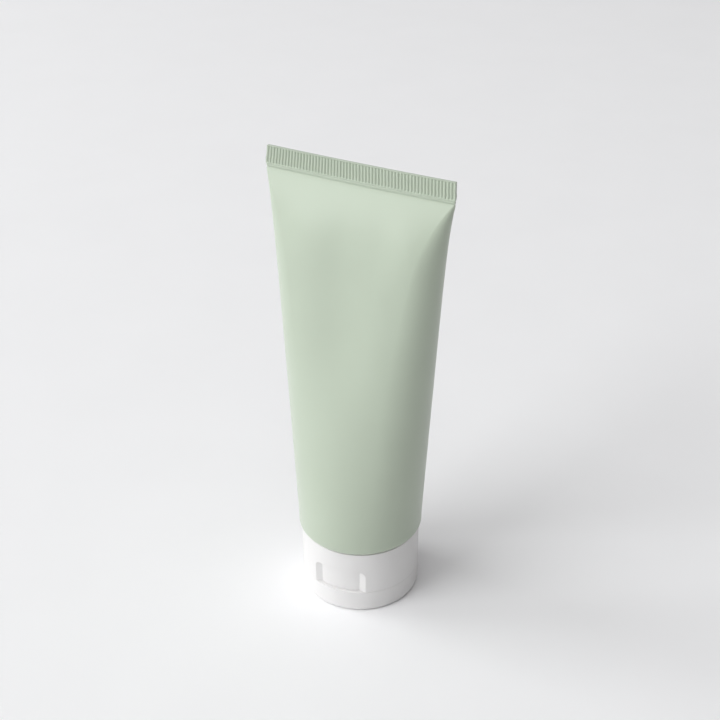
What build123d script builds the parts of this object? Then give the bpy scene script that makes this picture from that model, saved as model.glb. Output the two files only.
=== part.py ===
from build123d import *
import math
import os

# Hand cream tube that stands on its flip-top cap, in millimetres.
# Z points up, and the floor is at z = 0 under the lid. The lid's film hinge runs along X at the back
# (+Y), and the thumb recess is at the front (-Y). The cap is below and the flat seal is on top.

# The whole pack
overall_height = 149.0
tube_diameter = 40.0
sleeve_wall = 0.5

# The flat seal at the top: two walls welded together, with ribs pressed into both faces
seal_width = 60.5
seal_height = 6.0           # the ribbed band
seal_thickness = 1.0
seal_step = 0.10            # how far the band stands proud of the film just below it
seal_margin = 0.7           # plain welded strip between the band and the open sleeve
seal_turn = -5.0            # degrees from the hinge line: the cap is lined up only roughly
seal_bow = 0.45             # the seal is slightly curved in plan, its middle towards the front
groove_count = 59
groove_mouth = 0.66
groove_floor = 0.40
groove_depth = 0.26
groove_end_margin = 0.30    # plain width left at each end of the seal
groove_top_margin = 0.40    # plain strip above the grooves
groove_low_margin = 0.45    # plain strip below the grooves

# The sleeve between the shoulder and the seal. Its outline at each height is four arcs: two round
# sides that get smaller and move apart, and a flatter front and back that stay tangent to them.
shoulder_low = 23.5         # height of the sleeve's lower end
shoulder_round = 1.5
flare_share = 0.17          # part of the widening that comes in the last stretch below the seal
flare_power = 10.5
shrink_power = 6.0          # how late the welding heat shrinks the girth on the way up to the seal
crown_angle = 30.0          # half angle of the front and back arcs at the shoulder, 0 at the seal
bow_start = 0.70            # share of the height above which the front bends to the seal's bow
hollow_depth = 1.1          # the soft front face is a little hollow over its upper half
hollow_centre = 0.62        # share of the height
hollow_half_length = 0.32
hollow_stop = 1.0           # how far below the welded strip the two walls come together inside
upper_part = 0.80           # share of the height above which the sections stand closer together
lower_steps = 6
upper_steps = 8

# The moulded head: shoulder and neck
head_wall = 1.2
head_corner = 1.0           # cut across the corner inside the shoulder
weld_gap = 0.05
weld_height = 2.0           # straight round stretch where the sleeve is welded to the head
lip_width = 1.0             # how far the sleeve's end turns in under the shoulder
neck_radius = 9.0
neck_bore_radius = 7.5
neck_root_drop = 3.0        # how far the shoulder falls from its rim to the neck
bead_height = 0.45
bead_level = 16.5
bead_width = 1.4
bead_flat = 0.3

# The cap body
cap_inset = 0.9             # how far the cap's side stands inside the tube's
cap_gap = 0.25              # narrow groove between the cap's rim and the shoulder
lid_height = 7.7
parting_gap = 0.05
skirt_wall = 1.25
deck_thickness = 1.2
socket_clearance = 0.10
socket_wall = 1.1
socket_top = 19.8
seal_ring_wall = 0.8
seal_ring_height = 2.4
orifice_radius = 1.8
spout_radius = 3.4
spout_height = 0.8
collar_height = 1.0
collar_wall = 0.8
rib_count = 8
rib_thickness = 0.9
rib_top = 17.0
rim_round = 0.25
parting_chamfer = 0.06

# The thumb recess in the front of the cap body
recess_width = 17.4
recess_height = 8.35
recess_depth = 1.2
recess_slope_width = 2.2
recess_corner = 2.2
recess_back_wall = 1.3

# The lid
lid_wall = 1.3
lid_inner_round = 0.8       # inside corner, which keeps the wall even behind the rounded edge
lid_floor_round = 1.5
collar_clearance = 0.35
pin_clearance = 0.25
pin_bore_radius = 0.7
pin_reach = 0.7             # how far the pin stands past the deck, inside the neck
pin_lead = 0.4              # chamfer that leads the pin into the orifice
guard_ring_clearance = 0.5
guard_ring_wall = 0.8

# The film hinge
hinge_width = 10.0
hinge_proud = 0.2
hinge_half_height = 2.4
hinge_chamfer = 0.6

# The cream
fill_level = 113.0
fill_clearance = 0.1
pin_cream_gap = 0.8         # room that the lid's pin keeps open in the cream

# How far a rib or ring is sunk into what carries it, and a cutting tool runs past what it cuts
sunk = 0.2
past = 1.0

tube_radius = tube_diameter / 2
cap_top = shoulder_low - cap_gap
round_base = shoulder_low + shoulder_round
taper_base = round_base + weld_height
seal_base = overall_height - seal_height
fold_level = seal_base - seal_margin
film_half = seal_thickness / 2 - seal_step
head_outer = tube_radius - sleeve_wall - weld_gap
head_seat = shoulder_low + sleeve_wall + weld_gap
neck_root = shoulder_low - neck_root_drop
cap_radius = tube_radius - cap_inset
parting_level = lid_height + parting_gap
deck_top = parting_level + deck_thickness
skirt_inner = cap_radius - skirt_wall
socket_inner = neck_radius + socket_clearance
plug_radius = neck_bore_radius - socket_clearance
lid_inner = cap_radius - lid_wall
collar_radius = lid_inner - collar_clearance
guard_radius = spout_radius + guard_ring_clearance
pin_radius = orifice_radius - pin_clearance
pin_top = deck_top + pin_reach


def half_width(u):
    """Half of the sleeve's width, from the round tube to the seal."""
    spread = (1 - flare_share) * u + flare_share * u ** flare_power
    return tube_radius + (seal_width / 2 - seal_step - tube_radius) * spread


def front_angle(u):
    """Half angle of the front and back arcs: they flatten steadily towards the seal."""
    return math.radians(crown_angle) * (1 - u)


def side_radius(u):
    """Radius of the round sides: the film hardly stretches, so its width and girth fix it."""
    angle = front_angle(u)
    longer = angle / math.sin(angle) if u < 1 else 1.0
    round_girth = 2 * math.pi * tube_radius
    seal_girth = 2 * math.pi * film_half + 4 * (half_width(1) - film_half)
    girth = round_girth + (seal_girth - round_girth) * u ** shrink_power
    return (girth - 4 * half_width(u) * longer) / (2 * math.pi - 4 * longer)


def front_hollow(u):
    """How far the middle of the front face is pressed in."""
    v = (u - hollow_centre) / hollow_half_length
    return hollow_depth * math.cos(math.pi / 2 * v) ** 2 if abs(v) < 1 else 0.0


def sleeve_section(z, inset):
    """Outline of the sleeve at a height, drawn inside its outer face by inset."""
    u = min(1.0, max(0.0, (z - taper_base) / (fold_level - taper_base)))
    v = max(0.0, (u - bow_start) / (1 - bow_start))
    bow = seal_bow * v * v * (3 - 2 * v)
    offset = half_width(u) - side_radius(u)
    angle = front_angle(u)
    radius = side_radius(u) - inset
    depth = radius + offset * math.tan(angle / 2)
    x = offset + radius * math.sin(angle)
    y = radius * math.cos(angle)
    right = ThreePointArc((x, -y, z), (offset + radius, 0, z), (x, y, z))
    back = ThreePointArc((x, y, z), (0, depth - bow, z), (-x, y, z))
    left = ThreePointArc((-x, y, z), (-offset - radius, 0, z), (-x, -y, z))
    front = ThreePointArc((-x, -y, z), (0, front_hollow(u) - depth - bow, z), (x, -y, z))
    return Face(Wire([right, back, left, front]))


def evenly(start, end, steps):
    """Evenly spaced heights from start to end."""
    return [start + (end - start) * i / steps for i in range(steps + 1)]


def sleeve_form(inset, top):
    """Solid of the sleeve's form, inside its outer face by inset, from its rounded end to a height."""
    low = shoulder_low + inset
    end = extrude(sleeve_section(low, inset), taper_base - low, dir=(0, 0, 1))
    solid = fillet(end.edges().group_by(Axis.Z)[0], shoulder_round - inset)
    split = taper_base + upper_part * (fold_level - taper_base)
    stretches = [evenly(taper_base, min(split, top), lower_steps)]
    if top > split:
        stretches.append(evenly(split, top, upper_steps))
    for levels in stretches:
        solid += loft([sleeve_section(z, inset) for z in levels])
    return solid


def seal_plate():
    """Welded band at the top before its ribs are pressed: a thin plate, slightly bowed in plan."""
    half = seal_width / 2
    face = seal_thickness / 2
    front = ThreePointArc((-half, -face), (0, -face - seal_bow), (half, -face))
    back = ThreePointArc((half, face), (0, face - seal_bow), (-half, face))
    plan = make_face([front, Line(front @ 1, back @ 0), back, Line(back @ 1, front @ 0)])
    return extrude(Pos(0, 0, seal_base) * plan, seal_height, dir=(0, 0, 1))


def groove_tool(x, side):
    """Groove pressed into one face of the band: narrower at its floor than at its mouth."""
    bow = seal_bow * (1 - (2 * x / seal_width) ** 2)
    face = side * seal_thickness / 2 - bow
    floor = face - side * groove_depth
    outside = face + side * groove_depth
    profile = Polyline(
        (x - groove_mouth / 2, outside),
        (x - groove_mouth / 2, face),
        (x - groove_floor / 2, floor),
        (x + groove_floor / 2, floor),
        (x + groove_mouth / 2, face),
        (x + groove_mouth / 2, outside),
        close=True,
    )
    height = seal_height - groove_low_margin - groove_top_margin
    return extrude(Pos(0, 0, seal_base + groove_low_margin) * make_face(profile), height, dir=(0, 0, 1))


def seal_band():
    """Band with its ribs: what stands between the grooves pressed into both faces."""
    pitch = (seal_width - 2 * groove_end_margin) / groove_count
    first = -seal_width / 2 + groove_end_margin + pitch / 2
    tools = [groove_tool(first + pitch * i, side) for i in range(groove_count) for side in (-1, 1)]
    return seal_plate() - tools


def ring(profile):
    """Solid turned about Z from points given as radius and height."""
    section = make_face(Polyline(*[(r, 0, z) for r, z in profile], close=True))
    return revolve(section, axis=Axis.Z)


def disc(radius, low, high, hole=0.0):
    """Round plate or ring between two heights."""
    return ring([(hole, low), (radius, low), (radius, high), (hole, high)])


def make_sleeve():
    """Thin sleeve: turned in at the shoulder, round above it, flat and ribbed at the seal."""
    outside = sleeve_form(0.0, fold_level)
    strip = extrude(sleeve_section(fold_level, 0.0), seal_margin, dir=(0, 0, 1))
    hollow = sleeve_form(sleeve_wall, fold_level - hollow_stop)
    mouth = disc(tube_radius - shoulder_round - lip_width, shoulder_low - past, head_seat)
    return Rot(0, 0, seal_turn) * (outside + strip - hollow - mouth + seal_band())


def head_bore(gap):
    """Points up the inside of the head, drawn inwards by a gap: neck bore, cone, corner and weld."""
    wall = head_outer - head_wall - gap
    lift = 2 * gap
    return [
        (neck_bore_radius - gap, neck_root + head_wall + lift),
        (wall - head_corner, head_seat + head_wall + lift),
        (wall, head_seat + head_wall + head_corner + lift),
        (wall, taper_base),
    ]


def bead(gap):
    """Snap bead round the neck, or its groove in the socket where it is grown by a gap."""
    return ring([
        (neck_radius - sunk, bead_level - bead_width / 2 - gap),
        (neck_radius + bead_height + gap, bead_level - gap),
        (neck_radius + bead_height + gap, bead_level + bead_flat + gap),
        (neck_radius - sunk, bead_level + bead_width / 2 + gap),
    ])


def make_head():
    """Shoulder and neck, one moulding welded inside the sleeve's end."""
    turn = tube_radius - shoulder_round
    inner_round = shoulder_round - sleeve_wall
    lip = turn - lip_width - weld_gap
    half_turn = math.sqrt(0.5)
    profile = [
        (head_outer, taper_base),
        (head_outer, round_base),
        (head_outer - inner_round * (1 - half_turn), round_base - inner_round * half_turn + weld_gap),
        (turn, head_seat),
        (lip, head_seat),
        (lip, shoulder_low + weld_gap),
        (neck_radius, neck_root),
        (neck_radius, deck_top + weld_gap),
        (neck_bore_radius, deck_top + weld_gap),
    ]
    return ring(profile + head_bore(0.0)) + bead(0.0)


def recess_tool():
    """Shape cut out of the skirt for the thumb: a shallow floor between two slopes."""
    half = recess_width / 2
    edge = math.sqrt(cap_radius ** 2 - half ** 2)
    foot = half - recess_slope_width
    floor_radius = cap_radius - recess_depth
    floor_edge = math.sqrt(floor_radius ** 2 - foot ** 2)
    slope = (edge - floor_edge) / recess_slope_width
    outer = half + past
    outer_edge = edge + slope * past
    front = cap_radius + past
    floor = ThreePointArc((-foot, -floor_edge), (0, -floor_radius), (foot, -floor_edge))
    right = Line(floor @ 1, (outer, -outer_edge))
    left = Line((-outer, -outer_edge), floor @ 0)
    around = Polyline(right @ 1, (outer, -front), (-outer, -front), left @ 0)
    low = parting_level - past
    high = parting_level + recess_height
    block = extrude(Pos(0, 0, low) * make_face([floor, right, around, left]), high - low, dir=(0, 0, 1))
    window = Pos(0, -front / 2, (low + high) / 2) * Box(recess_width, front, high - low)
    corners = window.edges().filter_by(Axis.Y).group_by(Axis.Z)[-1]
    return block & fillet(corners, recess_corner)


def recess_backing():
    """Wall behind the thumb recess, where the skirt alone would be too thin."""
    inner = cap_radius - recess_depth - recess_back_wall
    high = parting_level + recess_height + recess_back_wall
    wall = disc(skirt_inner + sunk, parting_level, high, inner)
    window = Pos(0, -cap_radius / 2, high / 2) * Box(recess_width + 2 * recess_back_wall, cap_radius, high)
    return wall & window


def hinge_block(low, high, end):
    """Half of the hinge: a straight lip at the back of the cap, chamfered at its far end."""
    root = math.sqrt(cap_radius ** 2 - (hinge_width / 2) ** 2) - sunk
    face = cap_radius + hinge_proud
    block = Pos(0, (root + face) / 2, (low + high) / 2) * Box(hinge_width, face - root, high - low)
    far = block.faces().sort_by(Axis.Y)[-1].edges().filter_by(Axis.X).sort_by(Axis.Z)[end]
    return chamfer(far, hinge_chamfer)


def cap_rib():
    """Upright rib that joins the socket to the skirt."""
    inner = socket_inner + socket_wall - sunk
    length = skirt_inner + sunk - inner
    height = rib_top - parting_level
    return Pos(inner + length / 2, 0, parting_level + height / 2) * Box(length, rib_thickness, height)


def make_cap_base():
    """Cap body: skirt, deck with spout, socket for the neck, ribs and thumb recess."""
    skirt = disc(cap_radius, parting_level, cap_top, skirt_inner)
    skirt = fillet(skirt.edges().group_by(Axis.Z)[-1].sort_by(SortBy.LENGTH)[-1], rim_round)
    skirt = chamfer(skirt.edges().group_by(Axis.Z)[0].sort_by(SortBy.LENGTH)[-1], parting_chamfer)
    deck = disc(skirt_inner + sunk, parting_level, deck_top)
    collar = disc(collar_radius, parting_level - collar_height, deck_top, collar_radius - collar_wall)
    spout = disc(spout_radius, parting_level - spout_height, deck_top)
    socket = disc(socket_inner + socket_wall, parting_level, socket_top, socket_inner)
    plug = disc(plug_radius, parting_level, deck_top + seal_ring_height, plug_radius - seal_ring_wall)
    base = skirt + recess_backing() + deck + collar + spout + socket + plug
    for i in range(rib_count):
        base += Rot(0, 0, 360 / rib_count * (i + 0.5)) * cap_rib()
    base += hinge_block(parting_level, parting_level + hinge_half_height, -1)
    base -= recess_tool()
    base -= disc(orifice_radius, 0, deck_top + past)
    base -= disc(socket_inner, deck_top, cap_top, plug_radius)
    return base - bead(socket_clearance)


def make_lid():
    """Flip lid: flat floor face, skirt, sealing pin and the ring that guards it."""
    shell = disc(cap_radius, 0, lid_height)
    shell = fillet(shell.edges().group_by(Axis.Z)[0], lid_floor_round)
    shell = chamfer(shell.edges().group_by(Axis.Z)[-1], parting_chamfer)
    shell += hinge_block(lid_height - hinge_half_height, lid_height, 0)
    room = disc(lid_inner, lid_wall, lid_height + past)
    shell -= fillet(room.edges().group_by(Axis.Z)[0], lid_inner_round)
    pin = disc(pin_radius, lid_wall - sunk, pin_top, pin_bore_radius)
    pin = chamfer(pin.edges().group_by(Axis.Z)[-1].sort_by(SortBy.LENGTH)[-1], pin_lead)
    guard = disc(guard_radius + guard_ring_wall, lid_wall - sunk, parting_level - collar_height, guard_radius)
    return shell + pin + guard


def make_cream():
    """Cream: fills the sleeve up to the fill level and the neck down to the spout."""
    body = Rot(0, 0, seal_turn) * sleeve_form(sleeve_wall + fill_clearance, fill_level)
    body -= disc(tube_radius, shoulder_low, taper_base + fill_clearance)
    bore = plug_radius - seal_ring_wall - fill_clearance
    floor = deck_top + fill_clearance
    ledge = floor + seal_ring_height
    wall = head_bore(fill_clearance)
    joint = taper_base + 2 * fill_clearance
    tail = ring([
        (pin_radius + pin_cream_gap, floor),
        (bore, floor),
        (bore, ledge),
        (wall[0][0], ledge),
        *wall,
        (wall[-1][0], joint),
        (0, joint),
        (0, pin_top + pin_cream_gap),
        (pin_radius + pin_cream_gap, pin_top + pin_cream_gap),
    ])
    return body + tail


def main():
    os.makedirs("parts", exist_ok=True)
    parts = {
        "tube_sleeve": make_sleeve(),
        "tube_head": make_head(),
        "cream": make_cream(),
        "cap_base": make_cap_base(),
        "lid": make_lid(),
    }
    for name, shape in parts.items():
        export_step(shape, f"parts/{name}.step")
        print(name, len(shape.solids()), round(shape.volume / 1000, 2), "cm3")


main()
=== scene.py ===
import math

import bpy
from mathutils import Matrix, Vector


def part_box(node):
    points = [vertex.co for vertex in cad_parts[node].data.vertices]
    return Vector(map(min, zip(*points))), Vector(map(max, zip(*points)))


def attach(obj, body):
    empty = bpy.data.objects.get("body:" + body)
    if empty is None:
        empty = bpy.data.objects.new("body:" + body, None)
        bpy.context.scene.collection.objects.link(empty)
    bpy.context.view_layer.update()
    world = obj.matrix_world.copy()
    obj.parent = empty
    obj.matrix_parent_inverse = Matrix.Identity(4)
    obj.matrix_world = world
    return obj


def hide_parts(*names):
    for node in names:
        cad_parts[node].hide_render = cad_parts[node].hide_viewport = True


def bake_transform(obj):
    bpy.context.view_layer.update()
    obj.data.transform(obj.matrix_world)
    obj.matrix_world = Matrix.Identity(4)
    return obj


# Hand cream tube in soft sage green, standing on its white flip-top cap. Sizes are in metres.
# The film hinge is at the back (+Y), the thumb recess at the front (-Y), the flat seal on top.
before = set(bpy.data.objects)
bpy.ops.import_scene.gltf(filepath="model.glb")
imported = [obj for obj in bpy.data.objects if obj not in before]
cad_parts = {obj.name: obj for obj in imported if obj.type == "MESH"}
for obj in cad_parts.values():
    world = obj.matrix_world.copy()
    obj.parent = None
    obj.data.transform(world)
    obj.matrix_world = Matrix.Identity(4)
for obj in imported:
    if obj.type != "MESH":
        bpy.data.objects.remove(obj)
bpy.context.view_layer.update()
sleeve_low, sleeve_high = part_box("tube_sleeve")
cap_low, cap_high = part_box("cap_base")
lid_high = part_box("lid")[1]

# The sleeve's form, taken from the frame where the frame holds it
tube_radius = (sleeve_high.y - sleeve_low.y) / 2
sleeve_width = sleeve_high.x - sleeve_low.x
seal_top = sleeve_high.z
shoulder_low = sleeve_low.z
seal_turn = math.radians(-5.0)
seal_thickness = 0.0010
seal_width = (sleeve_width - seal_thickness * math.sin(-seal_turn)) / math.cos(seal_turn)
seal_height = 0.0056
seal_step = 0.00010             # how far the band stands proud of the film just below it
seal_bow = 0.00045              # the seal is slightly curved in plan, its middle towards the front
seal_margin = 0.0011            # plain welded strip between the band and the open sleeve
seal_pinch = 0.00026            # how much thinner the strip is pressed along its two edges
shoulder_round = 0.0015
shoulder_mouth = 0.0174         # radius at which the turned-in end of the sleeve stops
weld_height = 0.0020
flare_share = 0.17              # part of the widening in the last stretch below the seal
flare_power = 10.5
shrink_power = 12.0             # how late the welding heat shrinks the girth on the way up
crown_angle = math.radians(30.0)  # half angle of the front and back arcs at the shoulder
flat_angle = 0.001              # below this angle the front and back are drawn as parabolas
bow_start = 0.70                # share of the height above which the front bends to the bow
hollow_depth = 0.0011           # the soft front face is a little hollow over its upper half
hollow_half_width = 0.0150
hollow_centre = 0.62            # share of the height
hollow_half_length = 0.32
pillow_height = 0.0007          # two low swellings of the front just below the seal
pillow_left, pillow_left_half = -0.0125, 0.0130
pillow_right, pillow_right_half = 0.0190, 0.0105
pillow_drop = 0.0170            # below the seal
pillow_half_length = 0.0170
body_columns = 288
body_rows = 230
row_crowding = 0.35             # the rows stand closer together towards the seal
rounding_rows = 10
margin_rows = 8

# The ribs pressed into both faces of the seal
groove_count = 59
groove_columns = 8
groove_share = 0.66             # groove width as a share of the pitch
groove_depth = 0.00034
groove_end_margin = 0.00030     # plain width left at each end of the seal
groove_top = 0.00006            # plain strip above the grooves
groove_low = 0.00020            # plain strip below them
groove_run_out = 0.00035        # length over which a groove rises to the face at its ends
groove_rows = 12
run_out_rows = 6
band_edge_round = 0.00010
band_edge_rows = 3
band_end_lean = 0.0007          # the end on the left (-X) is cut a little short at the top
band_end_bump = 0.00012         # the pressed seal swells a little at its two ends
band_end_bump_drop = 0.0042
band_end_bump_reach = 0.0006

# The film between the two halves of the hinge
hinge_width = 0.0096
hinge_reach = 0.0009
hinge_film = 0.00007
hinge_rows = 12
hinge_columns = 10

# Colours as linear values
sage = (0.478, 0.547, 0.442)
sage_deep = (0.461, 0.528, 0.424)
cap_white = (0.772, 0.764, 0.757)
cap_white_deep = (0.757, 0.749, 0.742)
head_white = (0.74, 0.74, 0.71)
head_white_deep = (0.70, 0.70, 0.67)
cream_white = (0.83, 0.80, 0.72)
cream_white_deep = (0.80, 0.77, 0.68)
floor_white = (0.955, 0.955, 0.96)
floor_white_deep = (0.94, 0.94, 0.945)
backdrop_white = (0.90, 0.90, 0.91, 1.0)

# The plastics' surface: soft clouds of two close shades, and fine drawn lines on the sleeve
cloud_scale = 28.0
cloud_edges = 0.30, 0.70        # noise levels at which the deeper and the lighter shade are full
gloss_spread = 0.04             # how far the roughness goes to each side of its middle
grain_height = 0.0001
streak_scale = 260.0
streak_stretch = 0.02
streak_height = 0.0002

# Camera at the photograph's angle, in degrees and metres
camera_azimuth = 22.59
camera_elevation = 31.389
camera_distance = 0.41516
camera_roll = -0.361
aim_height = 0.08413
aim_side = 0.00017
camera_lens = 67.99             # millimetres on a 36 mm wide image

# Soft window lights from the left and from above, all at one distance. Each share is the light on
# a surface that faces the window, where 1 alone shows a colour as it is written.
window_distance = 3.5
key_azimuth, key_elevation, key_size, key_share = -84.0, 28.0, 1.60, 0.31
fill_azimuth, fill_elevation, fill_size, fill_share = -39.0, 24.0, 2.30, 0.57
top_azimuth, top_elevation, top_size, top_share = -12.0, 76.0, 3.00, 0.37
window_colour = (0.99, 1.0, 1.01)
ambient_colour = (1.0, 0.978, 0.980, 1.0)
ambient_strength = 0.255
ambient_lean = 0.50             # how much brighter the room is on the windows' side than opposite
floor_radius = 2.4
floor_sides = 64

round_base = shoulder_low + shoulder_round
taper_base = round_base + weld_height
seal_base = seal_top - seal_height
fold_level = seal_base - seal_margin
film_half = seal_thickness / 2 - seal_step


def direction(azimuth, elevation):
    """Unit vector from the object towards a place given as azimuth and elevation in degrees."""
    a = math.radians(azimuth)
    e = math.radians(elevation)
    return Vector((math.sin(a) * math.cos(e), -math.cos(a) * math.cos(e), math.sin(e)))


def smooth(x):
    """0 below 0, 1 above 1, and a smooth rise between them."""
    v = min(1.0, max(0.0, x))
    return v * v * (3 - 2 * v)


def swell(x):
    """1 at 0, falling smoothly to 0 at 1 and at -1."""
    return math.cos(math.pi / 2 * x) ** 2 if abs(x) < 1 else 0.0


def new_piece(name, points, faces):
    """Mesh object from points and faces, shaded smooth."""
    mesh = bpy.data.meshes.new(name)
    mesh.from_pydata(points, [], faces)
    mesh.polygons.foreach_set("use_smooth", [True] * len(mesh.polygons))
    mesh.update()
    piece = bpy.data.objects.new(name, mesh)
    bpy.context.scene.collection.objects.link(piece)
    return piece


def ring_faces(rings, columns):
    """Faces between rings of points that each close on themselves."""
    faces = []
    for row in range(rings - 1):
        for i in range(columns):
            j = (i + 1) % columns
            low = row * columns
            high = low + columns
            faces.append((low + i, low + j, high + j, high + i))
    return faces


def half_width(u):
    """Half of the sleeve's width, from the round tube to the seal."""
    spread = (1 - flare_share) * u + flare_share * u ** flare_power
    return tube_radius + (seal_width / 2 - seal_step - tube_radius) * spread


def side_radius(u, angle):
    """Radius of the round sides: the film hardly stretches, so its width and girth fix it."""
    longer = angle / math.sin(angle) if angle > 0 else 1.0
    round_girth = 2 * math.pi * tube_radius
    seal_girth = 2 * math.pi * film_half + 4 * (half_width(1) - film_half)
    girth = round_girth + (seal_girth - round_girth) * u ** shrink_power
    return (girth - 4 * half_width(u) * longer) / (2 * math.pi - 4 * longer)


def oval(z, offset, radius, angle, bow):
    """Points round the sleeve at a height: round sides, with a flatter front and back between."""
    x = offset + radius * math.sin(angle)
    y = radius * math.cos(angle)
    crown = offset * math.tan(angle / 2) + radius - y
    quarter = body_columns // 4
    points = []
    for side in (1, -1):
        for i in range(quarter):
            turn = (math.pi / 2 - angle) * (2 * i / quarter - 1)
            across = offset + radius * math.cos(turn)
            points.append((side * across, side * radius * math.sin(turn), z))
        for i in range(quarter):
            t = 2 * i / quarter - 1
            if angle > flat_angle:
                big = x / math.sin(angle)
                rise = big * (math.cos(angle * t) - math.cos(angle))
                across = math.sin(angle * t) / math.sin(angle)
            else:
                rise = crown * (1 - t * t)
                across = t
            points.append((side * -across * x, side * (y + rise), z))

    def bowed(px):
        """How far a point of the front or back is bent towards the front."""
        return bow * (1 - (px / x) ** 2) if abs(px) < x else 0.0

    return [(px, py - bowed(px), pz) for px, py, pz in points]


def body_ring(z):
    """Points round the sleeve at a height above its weld to the shoulder."""
    u = min(1.0, max(0.0, (z - taper_base) / (fold_level - taper_base)))
    angle = crown_angle * (1 - u)
    bow = seal_bow * smooth((u - bow_start) / (1 - bow_start))
    radius = side_radius(u, angle)
    ring = oval(z, half_width(u) - radius, radius, angle, bow)
    sunk = hollow_depth * swell((u - hollow_centre) / hollow_half_length)
    raised = pillow_height * swell((fold_level - pillow_drop - z) / pillow_half_length)

    def pressed(x):
        """How far the front is pressed in at a place across it."""
        left = swell((x - pillow_left) / pillow_left_half)
        right = swell((x - pillow_right) / pillow_right_half)
        return sunk * swell(x / hollow_half_width) - raised * (left + right)

    return [(x, y + pressed(x) if y < 0 else y, z) for x, y, z in ring]


def make_body():
    """Sleeve below the seal: turned-in end, rounded shoulder edge, then round to flat."""
    rings = [oval(shoulder_low, 0.0, shoulder_mouth, crown_angle, 0.0)]
    for i in range(rounding_rows + 1):
        angle = math.pi / 2 * i / rounding_rows
        radius = tube_radius - shoulder_round * (1 - math.sin(angle))
        level = round_base - shoulder_round * math.cos(angle)
        rings.append(oval(level, 0.0, radius, crown_angle, 0.0))
    for i in range(1, body_rows):
        share = i / body_rows
        crowded = share * (1 + row_crowding - row_crowding * share)
        rings.append(body_ring(round_base + (fold_level - round_base) * crowded))
    for i in range(margin_rows + 1):
        share = i / margin_rows
        pinched = film_half - seal_pinch * (1 - math.sin(math.pi * share))
        level = fold_level + (seal_margin + seal_step) * share
        rings.append(oval(level, half_width(1) - film_half, pinched, 0.0, seal_bow))
    points = [point for ring in rings for point in ring]
    body = new_piece("sleeve_body", points, ring_faces(len(rings), body_columns))
    body.data.transform(Matrix.Rotation(seal_turn, 4, "Z"))
    return body


def groove_shape(x):
    """Depth of the pressed ribs along the seal, from 0 on a rib to 1 in a groove."""
    inner = seal_width / 2 - groove_end_margin
    if abs(x) >= inner:
        return 0.0
    phase = ((x + inner) / (2 * inner) * groove_count) % 1.0
    across = abs(phase - 0.5) / (groove_share / 2)
    return 1 - smooth(across) if across < 1 else 0.0


def groove_reach(z):
    """1 along a groove, falling to 0 at its two ends."""
    upper = smooth((seal_top - groove_top - z) / groove_run_out)
    lower = smooth((z - seal_base - groove_low) / groove_run_out)
    return upper * lower


def edge_round(step):
    """How far a step of the band's rounded edge is drawn in from the face, and from the end."""
    angle = math.pi / 2 * step / band_edge_rows
    return band_edge_round * (1 - math.sin(angle)), band_edge_round * (1 - math.cos(angle))


def band_levels():
    """Heights of the rows of the seal band, with how far each is drawn in."""
    levels = []
    for i in range(band_edge_rows + 1):
        drawn, raised = edge_round(i)
        levels.append((seal_base + raised, drawn))
    low = seal_base + groove_low
    high = seal_top - groove_top
    levels.append(((seal_base + band_edge_round + low) / 2, 0.0))
    levels += [(low + groove_run_out * i / run_out_rows, 0.0) for i in range(run_out_rows + 1)]
    start = low + groove_run_out
    span = high - low - 2 * groove_run_out
    levels += [(start + span * i / groove_rows, 0.0) for i in range(1, groove_rows)]
    for i in range(run_out_rows + 1):
        levels.append((high - groove_run_out * (run_out_rows - i) / run_out_rows, 0.0))
    levels.append(((high + seal_top - band_edge_round) / 2, 0.0))
    for i in range(band_edge_rows, -1, -1):
        drawn, raised = edge_round(i)
        levels.append((seal_top - raised, drawn))
    return levels


def band_stations():
    """Places along the seal at which its faces have points."""
    inner = seal_width / 2 - groove_end_margin
    count = groove_count * groove_columns
    middle = [-inner + 2 * inner * i / count for i in range(count + 1)]
    ends = [seal_width / 2 - edge_round(i)[1] for i in range(band_edge_rows, -1, -1)]
    outer = [seal_width / 2 - groove_end_margin / 2]
    return [-x for x in reversed(outer + ends)] + middle + outer + ends


def make_band():
    """Flat welded seal with the ribs pressed into both faces."""
    stations = band_stations()
    half = seal_width / 2
    rings = []
    for z, drawn in band_levels():
        bump = math.exp(-(((seal_top - z - band_end_bump_drop) / band_end_bump_reach) ** 2))
        stretch = (half - band_end_bump * (1 - bump) - drawn) / half
        reach = groove_reach(z)
        front, back = [], []
        lean = band_end_lean * (z - seal_base) / seal_height
        for x in stations:
            corner = max(0.0, abs(x) - (half - band_edge_round)) / band_edge_round
            rounding = band_edge_round * (1 - math.sqrt(max(0.0, 1 - corner * corner)))
            depth = seal_thickness / 2 - drawn - rounding - groove_depth * groove_shape(x) * reach
            bow = seal_bow * (1 - (x / half) ** 2)
            cut = lean * max(0.0, -x / half)
            front.append((x * stretch + cut, -depth - bow, z))
            back.append((x * stretch + cut, depth - bow, z))
        rings.append(front + back[::-1])
    columns = len(rings[0])
    faces = ring_faces(len(rings), columns)
    last = (len(rings) - 1) * columns
    for i in range(len(stations) - 1):
        faces.append((i + 1, i, columns - 1 - i, columns - 2 - i))
        faces.append((last + i, last + i + 1, last + columns - 2 - i, last + columns - 1 - i))
    points = [point for ring in rings for point in ring]
    band = new_piece("seal_band", points, faces)
    band.data.transform(Matrix.Rotation(seal_turn, 4, "Z"))
    return band


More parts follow.
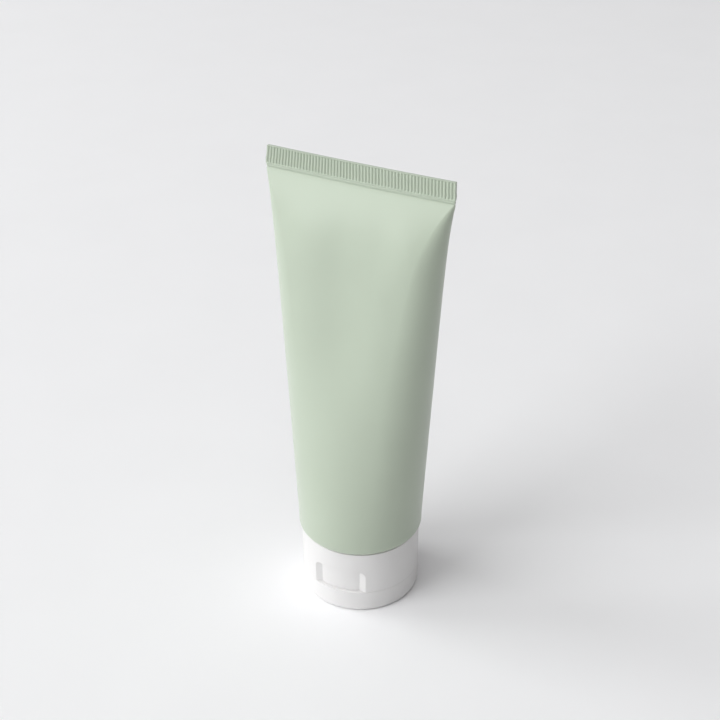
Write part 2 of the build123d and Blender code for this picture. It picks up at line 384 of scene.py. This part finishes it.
def make_hinge_film():
    """Thin web that joins the cap body to the lid, drawn in its closed shape."""
    level = (cap_low.z + lid_high.z) / 2
    face = cap_high.y
    points, faces = [], []
    for side in (0, 1):
        for row in range(hinge_rows + 1):
            v = 2 * row / hinge_rows - 1
            thick = hinge_film * (1 - v * v) * side
            depth = face + thick - hinge_film * 0.5 * (1 - side)
            for column in range(hinge_columns + 1):
                x = hinge_width * (column / hinge_columns - 0.5)
                points.append((x, depth, level + hinge_reach * v))
    wide = hinge_columns + 1
    sheet = wide * (hinge_rows + 1)
    for row in range(hinge_rows):
        for column in range(hinge_columns):
            a = row * wide + column
            faces.append((a, a + 1, a + 1 + wide, a + wide))
            faces.append((sheet + a, sheet + a + wide, sheet + a + 1 + wide, sheet + a + 1))
    film = new_piece("hinge_film", points, faces)
    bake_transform(film)
    return film


def add_node(nodes, kind, values):
    """New shader node of a kind, with the values of its inputs by name."""
    node = nodes.new(kind)
    for name, value in values.items():
        node.inputs[name].default_value = value
    return node


def plastic(name, colour, deep, roughness, grain, bump, streaks=0.0, specular=0.5, sheen=0.0):
    """Moulded plastic: two close shades, a fine surface grain and a slightly uneven gloss."""
    material = bpy.data.materials.new(name)
    material.use_nodes = True
    nodes = material.node_tree.nodes
    links = material.node_tree.links
    shader = nodes["Principled BSDF"]
    shader.inputs["Specular IOR Level"].default_value = specular
    shader.inputs["Sheen Weight"].default_value = sheen
    place = nodes.new("ShaderNodeTexCoord").outputs["Object"]

    clouds = add_node(nodes, "ShaderNodeTexNoise", {"Scale": cloud_scale, "Detail": 3.0})
    links.new(place, clouds.inputs["Vector"])
    shades = nodes.new("ShaderNodeValToRGB")
    for element, position, shade in zip(shades.color_ramp.elements, cloud_edges, (deep, colour)):
        element.position = position
        element.color = (*shade, 1.0)
    links.new(clouds.outputs["Fac"], shades.inputs["Fac"])
    links.new(shades.outputs["Color"], shader.inputs["Base Color"])

    spread = {"To Min": roughness - gloss_spread, "To Max": roughness + gloss_spread}
    gloss = add_node(nodes, "ShaderNodeMapRange", spread)
    links.new(clouds.outputs["Fac"], gloss.inputs["Value"])
    links.new(gloss.outputs["Result"], shader.inputs["Roughness"])

    fine = add_node(nodes, "ShaderNodeTexNoise", {"Scale": grain, "Detail": 2.0})
    links.new(place, fine.inputs["Vector"])
    surface = add_node(nodes, "ShaderNodeBump", {"Strength": bump, "Distance": grain_height})
    links.new(fine.outputs["Fac"], surface.inputs["Height"])
    if streaks > 0:
        stretch = add_node(nodes, "ShaderNodeMapping", {"Scale": (1.0, 1.0, streak_stretch)})
        links.new(place, stretch.inputs["Vector"])
        lines = add_node(nodes, "ShaderNodeTexNoise", {"Scale": streak_scale, "Detail": 2.0})
        links.new(stretch.outputs["Vector"], lines.inputs["Vector"])
        drawn = add_node(nodes, "ShaderNodeBump", {"Strength": streaks, "Distance": streak_height})
        links.new(lines.outputs["Fac"], drawn.inputs["Height"])
        links.new(surface.outputs["Normal"], drawn.inputs["Normal"])
        surface = drawn
    links.new(surface.outputs["Normal"], shader.inputs["Normal"])
    return material


def dress(piece, material):
    """Gives a piece one material."""
    piece.data.materials.clear()
    piece.data.materials.append(material)


def make_floor():
    """Plain pale floor that takes the object's shadow."""
    corners = []
    for i in range(floor_sides):
        turn = 2 * math.pi * i / floor_sides
        corners.append((math.cos(turn) * floor_radius, math.sin(turn) * floor_radius, 0))
    floor = new_piece("floor", corners, [tuple(range(floor_sides))])
    paper = plastic("floor_paper", floor_white, floor_white_deep, 0.9, 900.0, 0.05, specular=0.1)
    dress(floor, paper)


def make_world():
    """Soft ambient light, brighter on the windows' side, with a pale backdrop for the camera."""
    world = bpy.data.worlds.new("studio")
    bpy.context.scene.world = world
    world.use_nodes = True
    nodes = world.node_tree.nodes
    links = world.node_tree.links
    nodes.clear()
    around = nodes.new("ShaderNodeTexCoord")
    towards = nodes.new("ShaderNodeVectorMath")
    towards.operation = "DOT_PRODUCT"
    towards.inputs[1].default_value = direction(key_azimuth, 0.0)
    links.new(around.outputs["Generated"], towards.inputs[0])
    level = add_node(nodes, "ShaderNodeMapRange", {
        "From Min": -1.0,
        "To Min": ambient_strength * (1 - ambient_lean),
        "To Max": ambient_strength * (1 + ambient_lean),
    })
    links.new(towards.outputs["Value"], level.inputs["Value"])
    light = add_node(nodes, "ShaderNodeBackground", {"Color": ambient_colour})
    links.new(level.outputs["Result"], light.inputs["Strength"])
    shown = add_node(nodes, "ShaderNodeBackground", {"Color": backdrop_white, "Strength": 1.0})

    path = nodes.new("ShaderNodeLightPath")
    seen = path.outputs["Is Camera Ray"]
    for kind in ("Is Glossy Ray", "Is Transmission Ray"):
        either = nodes.new("ShaderNodeMath")
        either.operation = "MAXIMUM"
        links.new(seen, either.inputs[0])
        links.new(path.outputs[kind], either.inputs[1])
        seen = either.outputs["Value"]
    mix = nodes.new("ShaderNodeMixShader")
    out = nodes.new("ShaderNodeOutputWorld")
    links.new(seen, mix.inputs["Fac"])
    links.new(light.outputs["Background"], mix.inputs[1])
    links.new(shown.outputs["Background"], mix.inputs[2])
    links.new(mix.outputs["Shader"], out.inputs["Surface"])


def make_window(name, azimuth, elevation, size, share):
    """Large soft light that faces the object and gives it a share of full light."""
    data = bpy.data.lights.new(name, "AREA")
    data.shape = "SQUARE"
    data.size = size
    data.energy = share * (math.pi * window_distance) ** 2
    data.color = window_colour
    light = bpy.data.objects.new(name, data)
    bpy.context.scene.collection.objects.link(light)
    towards = direction(azimuth, elevation)
    light.location = Vector((0, 0, aim_height)) + towards * window_distance
    light.rotation_mode = "QUATERNION"
    light.rotation_quaternion = towards.to_track_quat("Z", "Y")


def make_camera():
    """Camera at the photograph's viewing angle."""
    data = bpy.data.cameras.new("camera")
    data.lens = camera_lens
    data.sensor_width = 36.0
    data.clip_start = 0.01
    data.clip_end = 20.0
    camera = bpy.data.objects.new("camera", data)
    bpy.context.scene.collection.objects.link(camera)
    back = direction(camera_azimuth, camera_elevation)
    level = direction(camera_azimuth + 90, 0.0)
    up = back.cross(level)
    roll = math.radians(camera_roll)
    right = level * math.cos(roll) + up * math.sin(roll)
    top = up * math.cos(roll) - level * math.sin(roll)
    place = Vector((0, 0, aim_height)) + level * aim_side + back * camera_distance
    turn = Matrix((right, top, back)).transposed()
    camera.matrix_world = Matrix.Translation(place) @ turn.to_4x4()
    bpy.context.scene.camera = camera


sleeve_plastic = plastic(
    "sleeve_plastic", sage, sage_deep, 0.33, 3000.0, 0.06, streaks=0.04, specular=0.30, sheen=0.25)
cap_plastic = plastic("cap_plastic", cap_white, cap_white_deep, 0.38, 2600.0, 0.08)
head_plastic = plastic("head_plastic", head_white, head_white_deep, 0.42, 2600.0, 0.08)
cream_paste = plastic("cream", cream_white, cream_white_deep, 0.22, 420.0, 0.15)

body = make_body()
band = make_band()
for piece in (body, band):
    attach(piece, "tube")
    dress(piece, sleeve_plastic)
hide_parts("tube_sleeve")

film = make_hinge_film()
dress(film, cap_plastic)
dress(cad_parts["cap_base"], cap_plastic)
dress(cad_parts["lid"], cap_plastic)
dress(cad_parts["tube_head"], head_plastic)
dress(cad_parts["cream"], cream_paste)

make_floor()
make_world()
make_window("key_window", key_azimuth, key_elevation, key_size, key_share)
make_window("fill_window", fill_azimuth, fill_elevation, fill_size, fill_share)
make_window("top_window", top_azimuth, top_elevation, top_size, top_share)
make_camera()
bpy.context.scene.view_settings.view_transform = "Standard"
